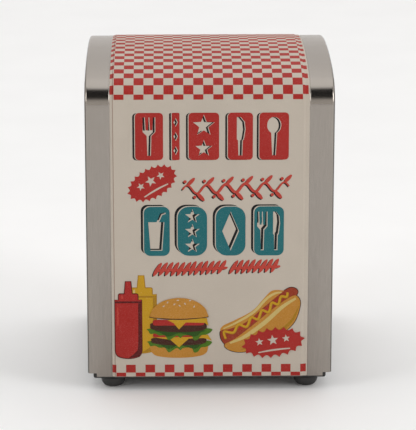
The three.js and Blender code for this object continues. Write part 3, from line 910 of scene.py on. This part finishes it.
def rounded_panel(left, right, low, high, corners, pieces=8):
    """A rectangle with its corners rounded: lower right, upper right, upper left, lower left."""
    outline = []
    places = ((right, low, -1, 1), (right, high, -1, -1), (left, high, 1, -1), (left, low, 1, 1))
    for quarter_turn, ((x, y, in_x, in_y), radius) in enumerate(zip(places, corners)):
        centre_x, centre_y = x + in_x * radius, y + in_y * radius
        for i in range(pieces + 1 if radius else 1):
            angle = math.radians(90 * (quarter_turn - 1 + i / pieces))
            across, up = radius * math.cos(angle), radius * math.sin(angle)
            outline.append((centre_x + across, centre_y + up))
    return outline


def star(x, y, radius, turn=90.0):
    outline = []
    for i in range(2 * STAR_POINTS):
        reach = radius * (STAR_DEPTH if i % 2 else 1)
        angle = math.radians(turn + 180 * i / STAR_POINTS)
        outline.append((x + reach * math.cos(angle), y + reach * math.sin(angle)))
    return outline


def diamond(x, y, half_width, half_height):
    return [(x, y - half_height), (x + half_width, y), (x, y + half_height), (x - half_width, y)]


def spaced(outline, count):
    """Points at equal distances along a closed outline."""
    steps = [math.dist(p, q) for p, q in zip(outline, outline[1:] + outline[:1])]
    points, corner, done = [], 0, 0.0
    for i in range(count):
        target = sum(steps) * i / count
        while done + steps[corner] < target:
            done += steps[corner]
            corner += 1
        here, after = Vector(outline[corner]), Vector(outline[(corner + 1) % len(outline)])
        points.append(tuple(here.lerp(after, (target - done) / steps[corner])))
    return points


def directions(line, closed=True):
    """The unit vector along a line at each of its points."""
    before = (line[-1:] if closed else line[:1]) + line[:-1]
    after = line[1:] + (line[:1] if closed else line[-1:])
    return [(Vector(q) - Vector(p)).normalized() for p, q in zip(before, after)]


def grown(outline, by):
    """The anticlockwise outline moved outwards, by one distance or by each point's own."""
    distances = by if isinstance(by, list) else [by] * len(outline)
    steps = zip(outline, directions(outline), distances)
    return [(x + along.y * out, y - along.x * out) for (x, y), along, out in steps]


def burst(x, y, half_width, half_height, tilt, spikes, bite):
    """An oval badge with a scalloped edge: equal round bites between sharp tips."""
    pieces = 6
    rim = spaced(ellipse(x, y, half_width, half_height, tilt, 180), spikes * pieces)
    return grown(rim, [-bite * math.sin(math.pi * (i % pieces) / pieces) for i in range(len(rim))])


def curve(knots, pieces=6, closed=True):
    """A smooth line through the knots."""
    count = len(knots)
    spans = count if closed else count - 1
    line = []
    for i in range(spans):
        around = range(i - 1, i + 3)
        around = [k % count if closed else min(max(k, 0), count - 1) for k in around]
        p0, p1, p2, p3 = (Vector(knots[k]) for k in around)
        for step in range(pieces):
            t = step / pieces
            p = 0.5 * (
                2 * p1
                + (p2 - p0) * t
                + (2 * p0 - 5 * p1 + 4 * p2 - p3) * t * t
                + (3 * p1 - p0 - 3 * p2 + p3) * t * t * t
            )
            line.append((p.x, p.y))
    if not closed:
        line.append(tuple(knots[-1]))
    return line


def stroke(line, width, taper=0.0):
    """The outline of a line drawn with a round pen; taper thins its two ends."""
    left, right = [], []
    last = len(line) - 1
    for i, ((x, y), along) in enumerate(zip(line, directions(line, closed=False))):
        share = math.sin(math.pi * min(max(i / last, 0.04), 0.96)) if taper else 1.0
        half = width / 2 * (1 - taper + taper * share)
        left.append((x - along.y * half, y + along.x * half))
        right.append((x + along.y * half, y - along.x * half))
    return right + left[::-1]


def fork(x, low, high):
    """A fork standing upright."""
    w, shoulder = 1.6, low + 0.62 * (high - low)
    neck, notch = shoulder - 1.6, shoulder + 0.7
    outline = [(x - 0.45, low), (x + 0.45, low), (x + 0.6, neck), (x + w, shoulder), (x + w, high)]
    for gap in (x + 1.0, x - 0.1):
        outline += [(gap, high), (gap - 0.15, notch), (gap - 0.75, notch), (gap - 0.9, high)]
    return outline + [(x - w, high), (x - w, shoulder), (x - 0.6, neck)]


def knife(x, low, high):
    split = low + 0.42 * (high - low)
    handle = [(x - 0.5, low), (x + 0.5, low), (x + 0.6, split - 0.4)]
    blade = [(x + 0.9, split), (x + 1.3, high - 5), (x + 1.1, high - 2), (x + 0.1, high)]
    return handle + blade + [(x - 0.9, high), (x - 0.9, split), (x - 0.6, split - 0.4)]


def spoon(x, low, high):
    bowl = ellipse(x, high - 3.4, 1.9, 3.4)
    joined = [p for p in bowl if not (abs(p[0] - x) < 0.55 and p[1] < high - 3.4)]
    turn = next(i for i, p in enumerate(joined) if p[0] > x and p[1] < high - 6)
    return joined[turn:] + joined[:turn] + [(x - 0.5, low), (x + 0.5, low)]


def tumbler(x, low, high):
    """A tall glass with a drinking straw."""
    rim = high - 3.6
    straw = [(x + 0.9, rim), (x + 1.9, high - 0.7), (x + 3.1, high - 0.1), (x + 2.8, high + 0.5)]
    straw += [(x + 1.2, high), (x + 0.1, rim)]
    return [(x - 1.9, low), (x + 1.9, low), (x + 2.6, rim), *straw, (x - 2.6, rim)]


def widened(shape, x, low, high, factor):
    """A piece of table ware drawn at x from low to high, and widened about x."""
    return [(x + (across - x) * factor, height) for across, height in shape(x, low, high)]


def print_row(name, ink_name, low, high, row, shadow, gap):
    """A row of panels, each a pair of sides, a corner radius and holes. A black shadow lies beside
    each panel, with a thin gap of paper between the two."""
    panels = Motif(name)
    layers = (("black", shadow), ("cream", gap), (ink_name, (0, 0)))
    for (left, right), corner, holes in row:
        outline = rounded_panel(left, right, low, high, (corner,) * 4)
        for layer, (layer_ink, (dx, dy)) in enumerate(layers):
            panels.lay(layer_ink, moved(outline, dx, dy), layer, [moved(h, dx, dy) for h in holes])
    panels.print_both_sides()


def make_panels():
    """Two rows of bold panels with cut-out table ware, stars and diamonds."""
    low, high = 91.9, 111.3
    middle, inside = (low + high) / 2, (low + 1.8, high - 1.8)
    row = (
        ((-29.9, -18.7), 1.6, [widened(fork, -24.3, *inside, 1.6)]),
        ((-15.2, -12.1), 0.5, [diamond(-13.65, middle + d, 0.9, 1.8) for d in (-5.8, 0, 5.8)]),
        ((-8.5, 3.7), 1.6, [star(-2.4, middle + 4.4, 4.6), star(-2.4, middle - 5, 3.6)]),
        ((7.2, 17.2), 1.6, [widened(knife, 12.2, *inside, 1.6)]),
        ((19.8, 31.6), 1.6, [widened(spoon, 25.7, *inside, 1.5)]),
    )
    print_row("red_panels", "red", low, high, row, (-1.05, -0.1), (-0.3, 0))

    low, high = 51.9, 72.5
    middle, inside = (low + high) / 2, (low + 2.2, high - 2.2)
    pair = [widened(fork, 21.2, *inside, 1.3), widened(knife, 26.7, *inside, 1.3)]
    row = (
        ((-26.6, -16.2), 2.6, [widened(tumbler, -21.6, low + 2.2, high - 2.8, 1.25)]),
        ((-13.0, -1.1), 4.6, [star(-7.05, middle + d, 3.1) for d in (6.2, 0, -6.2)]),
        ((2.4, 14.4), 4.6, [diamond(8.4, middle, 3.4, 8.2)]),
        ((17.9, 29.9), 2.6, pair),
    )
    print_row("teal_panels", "teal", low, high, row, (-1.25, 0.85), (-0.35, 0.3))


def make_flourishes():
    """A waved vine with leaves and berries, and a rising row of slanting brush strokes."""
    vine = Motif("vine")
    start, wave, swing, waves, steps = -11.0, 7.8, 1.75, 5.5, 20
    line = []
    for i in range(int(waves * steps) + 1):
        x = start + wave * i / steps
        line.append((x, 79.9 + 0.03 * x + swing * math.sin(2 * math.pi * i / steps)))
    shapes = [stroke(line, 1.15, 0.5)]
    for i in range(int(2 * waves)):
        x, y = line[steps // 4 + steps // 2 * i]
        up = -1 if i % 2 else 1
        shapes.append(ellipse(x + 1.5, y + 1.45 * up, 2.2, 0.75, 48 * up, 20))
        shapes.append(ellipse(x - 0.9, y + 1.5 * up, 0.65, 0.65))
    for i, shape in enumerate(shapes):
        vine.lay("black", moved(shape, -0.45, -0.35), 0.3 * (i % 4))
        vine.lay("light_red", shape, 2 + 0.3 * (i % 4))
    vine.print_both_sides()

    strokes = Motif("brush_strokes")
    pattern = random.Random(7)
    for i in range(21):
        x = -21.2 + 2.38 * i
        if i == 12:  # a gap in the row
            continue
        middle = 46.2 + 0.03 * (x + 22) + pattern.uniform(-0.15, 0.15)
        lean = 62 + pattern.uniform(-4, 4)
        for name, dx, dy, layer in (("black", -0.5, -0.3, 0), ("light_red", 0, 0, 2)):
            layer += 0.4 * (i % 2)
            strokes.lay(name, ellipse(x + dx, middle + dy, 3.3, 0.8, lean, 18), layer)
            dab = ellipse(x + 1.1 + dx, middle - 0.5 + dy, 1.2, 0.55, 12, 14)
            strokes.lay(name, dab, layer + 0.8)
    strokes.print_both_sides()


def make_badges():
    """Scalloped badges, each with three stars over a bow line."""
    badges = Motif("badges")
    for x, y, half_width, half_height, tilt, spikes, bite, layer in (
        (-23.2, 82.3, 11.0, 6.6, 30, 21, 1.1, 0),
        (25.9, 14.7, 13.1, 6.6, 8, 18, 1.35, 11),
    ):
        badges.lay("red", burst(x, y, half_width, half_height, tilt, spikes, bite), layer)
        lean = math.radians(tilt)
        along = Vector((math.cos(lean), math.sin(lean))) * half_width
        up = Vector((-math.sin(lean), math.cos(lean))) * half_height
        for step, size in ((-0.42, 1.7), (0.0, 2.3), (0.42, 1.7)):
            centre = Vector((x, y)) + along * step + up * 0.16
            badges.lay("cream", star(*centre, size, 90 + tilt), layer + 1)
        bow = [
            Vector((x, y)) + along * t - up * (0.62 - 0.14 * math.cos(1.5 * t))
            for t in (-0.5, -0.25, 0.0, 0.25, 0.5)
        ]
        badges.lay("cream", stroke(curve(bow, 4, closed=False), 0.7, 0.4), layer + 1)
    badges.print_both_sides()


def bottle(motif, x, width, low, shoulder, collar, nozzle, inks, layer):
    """A squeeze bottle: body, collar and nozzle, with a shaded side and a light streak."""
    main, shade, light, edge = inks
    half, top = width / 2, shoulder - 1.4
    left, right, neck_half = x - half, x + half, 0.36 * width
    foot = [(left, low + 3.2), (x - 0.8 * half, low + 0.9), (x, low)]
    foot += [(x + 0.8 * half, low + 0.9), (right, low + 3.2)]
    body = [*curve(foot, 4, closed=False), (right, shoulder), (left, shoulder)]
    neck_corners = (0.3, 0.5, 0.5, 0.3)
    neck = rounded_panel(x - neck_half, x + neck_half, shoulder - 0.2, collar, neck_corners)
    tip = [(x - 1.5, collar - 0.1), (x + 1.5, collar - 0.1), (x + 0.95, nozzle), (x - 0.95, nozzle)]
    for i, shape in enumerate((tip, neck, body)):
        motif.lay(edge, grown(shape, 0.4), layer + 0.3 * i)
        motif.lay(main, shape, layer + 1 + 0.3 * i)
    inner_edge = [(right - 1.3, top), (right - 1.4, low + 6)]
    inner_edge += [(right - 2.4, low + 2.6), (x, low + 0.1)]
    side = [*curve(inner_edge, 4, closed=False), *curve(foot[2:], 4, closed=False)[1:]]
    motif.lay(shade, [*side, (right - 0.1, top)], layer + 2)
    line = rounded_panel(left, right, shoulder - 1.3, shoulder - 0.5, (0, 0.3, 0.3, 0))
    motif.lay(shade, line, layer + 2.3)
    streak = rounded_panel(left + 0.7, left + 1.3, low + 14, shoulder - 3, (0.3,) * 4)
    motif.lay(light, streak, layer + 2)
    motif.lay(light, ellipse(x - 0.24 * width, (shoulder + collar) / 2, 0.45, 0.8), layer + 2)


def make_bottles():
    bottles = Motif("bottles")
    yellow = ("mustard", "dark_mustard", "pale_bun", "dark_mustard")
    red = ("red", "dark_red", "light_red", "dark_red")
    bottle(bottles, -27.9, 12.0, 10.6, 35.5, 38.2, 43.6, yellow, 0)
    bottle(bottles, -33.2, 10.6, 8.3, 33.2, 35.7, 41.1, red, 3)
    bottles.print_both_sides()


def leaf_edge(left, right, top, drops):
    """A ragged leaf hanging from top, with drops as (x, how far down)."""
    knots = [(right, top), ((left + right) / 2, top + 0.5), (left, top)]
    knots += [(x, top - down) for x, down in drops]
    return curve(knots, 4)


def make_burger():
    """Two patties with leaves, cheese and sauce in a seeded bun, drawn from the bottom up."""
    heel = [(-24.3, 12.2), (-22.6, 9.6), (-18.5, 8.6), (-12.5, 8.3), (-6.3, 8.7), (-2.2, 9.8)]
    heel += [(-0.8, 12.2), (-1.8, 15), (-12.5, 14.6), (-23.4, 15)]
    crumb = [(-23.6, 13.8), (-12.5, 12.4), (-1.6, 13.8), (-2.2, 14.8), (-12.5, 14.6), (-23, 14.8)]
    frill = [(-25, 0.9), (-24.2, 2.2), (-22.4, 2), (-20.6, 2.9), (-18.4, 2.9), (-16.8, 4.9)]
    frill += [(-15, 3.9), (-13.4, 3), (-12, 4), (-10.8, 3), (-7.6, 3), (-6.4, 5)]
    frill += [(-4.8, 4.6), (-3.6, 2.9), (-1.6, 2.6), (0.3, 1.6)]
    fold = [(-20.4, 0.9), (-16.8, 2.7), (-12.4, 1.2), (-6.2, 2.7), (-3.6, 0.9)]
    patty = [(-23.9, 15.9), (-23.2, 14.7), (-18, 13.9), (-12.5, 13.7), (-6, 13.9)]
    patty += [(-1.9, 14.7), (-1.4, 16.2), (-2.4, 17.2), (-12.5, 17.4), (-22.8, 16.9)]
    upper_patty = [(x * 1.02 + 0.1, 1.25 * (y - 13.7) + 19.4) for x, y in patty]
    cheese = [(-23.4, 18.2), (-0.8, 18.2), (0.8, 15.7), (-2.4, 16.8), (-8.6, 16.6)]
    cheese += [(-12.6, 12.9), (-16.2, 16.2), (-21.5, 17)]
    upper_cheese = [(-14.6, 25), (-1.2, 25.4), (-0.6, 22), (-2, 23.4), (-9.8, 23.6)]
    upper_cheese += [(-12.6, 20.6), (-14.8, 23.4), (-17.4, 24.6)]
    shadow = [(-23.6, 25.6), (-12.5, 24.7), (-1.5, 25.6), (-2, 26.2), (-12.5, 25.8), (-23.1, 26.2)]
    dome = [(-24, 26), (-18, 25.4), (-12.5, 25.2), (-7, 25.4), (-1.1, 26)]
    dome += [(-1, 27.4), (-2.2, 29.9), (-5.4, 32.4), (-9.8, 33.8), (-14.4, 33.9)]
    dome += [(-19.2, 32.6), (-22.8, 29.9), (-24.1, 27.4)]
    shapes = (
        ("bun", curve(heel)),
        ("dark_mustard", curve(crumb)),
        ("green", leaf_edge(-24.6, -0.2, 15.6, frill)),
        ("dark_green", leaf_edge(-22.4, -2.2, 14.9, fold)),
        ("brown", curve(patty)),
        ("mustard", cheese),
        ("red", rounded_panel(-23.2, -3.4, 17.3, 18.9, (0.8,) * 4)),
        ("green", leaf_edge(-24.8, 0, 20.9, frill)),
        ("dark_green", leaf_edge(-22.4, -2.2, 20.2, fold)),
        ("brown", curve(upper_patty)),
        ("red", rounded_panel(-23.3, -2.2, 22.3, 24.7, (1.1,) * 4)),
        ("mustard", upper_cheese),
        ("brown", curve(shadow)),
        ("bun", curve(dome)),
    )
    burger = Motif("burger", 3)
    for layer, (ink_name, outline) in enumerate(shapes):
        burger.lay(ink_name, outline, layer)
    seeds = [(-17.2, 32.2, 60), (-14.4, 31.4, 35), (-12.3, 30.8, -40), (-10.1, 31.6, -60)]
    seeds += [(-8, 33, 20), (-13, 33.1, 10), (-18.8, 30.6, 30), (-6.4, 30.4, 65)]
    for x, y, tilt in seeds:
        burger.lay("cream", ellipse(x, y, 0.5, 0.24, tilt, 10), len(shapes))
    burger.print_both_sides()


def make_hot_dog():
    """A sausage between two halves of a bun, with a zigzag of mustard."""
    back_bun = [(4.4, 19.6), (5.4, 22), (9.8, 24.2), (17.4, 28.4), (22, 33.6), (25.2, 36.8)]
    back_bun += [(29.2, 37), (33.2, 35.2), (20, 20), (8, 15.6)]
    front_bun = [(6, 13.8), (8.6, 11.3), (14.4, 10.8), (22, 13.9), (29.6, 18.6), (34.6, 23.6)]
    front_bun += [(36.8, 30.4), (36.2, 33.8), (33.6, 34.6), (26, 29.4), (18, 22.6), (10.6, 16.6)]
    sausage = [(4.5, 19.8), (4.6, 16.4), (6.6, 13.9), (9.6, 14.6), (16.4, 18.4), (24.4, 25.4)]
    sausage += [(31.2, 31.2), (35.4, 35.2), (35.4, 37.4), (32.8, 38.2), (29.4, 36.2)]
    sausage += [(22.4, 30.2), (14.6, 23.4), (8, 20.6)]
    back_light = [(5.6, 20.8), (11, 23.4), (18, 27.9), (23, 33.4), (27, 35.9), (31, 36)]
    gloss = [(8, 19.4), (14.8, 22), (22.6, 28.6), (29.4, 34.8)]
    shade = [(12.6, 11.6), (22, 14.6), (29.6, 19.3), (34.2, 24.2), (36.3, 30.4)]
    shade += [(33.2, 24.6), (28.6, 20.4), (21.4, 16)]
    front_light = [(8.2, 14.6), (14.4, 17.4), (22, 23), (29.6, 30), (35, 33.6)]
    zigzag = [(6.4, 16.6), (5.8, 19.6), (9.6, 19.2), (11.6, 22.6), (15, 21.7), (16.8, 25.6)]
    zigzag += [(19.6, 24.9), (21.2, 28.6), (24, 27.9), (25.2, 31.8), (27.8, 31.2)]
    zigzag += [(28.9, 34.4), (31.2, 34.4), (31.6, 36.2)]

    def drawn(knots, width, taper=0.0, pieces=6):
        return stroke(curve(knots, pieces, closed=False), width, taper)

    hot_dog = Motif("hot_dog")
    for i, knots in enumerate((back_bun, front_bun, sausage)):
        hot_dog.lay("black", grown(curve(knots), 0.28), 0.3 * i)
    shapes = (
        ("bun", curve(back_bun)),
        ("pale_bun", drawn(back_light, 1.1, 0.6, 5)),
        ("sausage", curve(sausage)),
        ("red", drawn(gloss, 0.9, 0.7)),
        ("bun", curve(front_bun)),
        ("dark_mustard", curve(shade)),
        ("pale_bun", drawn(front_light, 1.8, 0.6)),
        ("dark_mustard", drawn(moved(zigzag, 0.2, -0.25), 0.95)),
        ("mustard", drawn(zigzag, 0.85)),
    )
    for layer, (ink_name, outline) in enumerate(shapes, start=1):
        hot_dog.lay(ink_name, outline, layer)
    hot_dog.print_both_sides()


def make_print():
    make_wrap()
    make_panels()
    make_flourishes()
    make_badges()
    make_bottles()
    make_burger()
    make_hot_dog()


add_camera()
add_studio()
make_steelwork()
make_print()
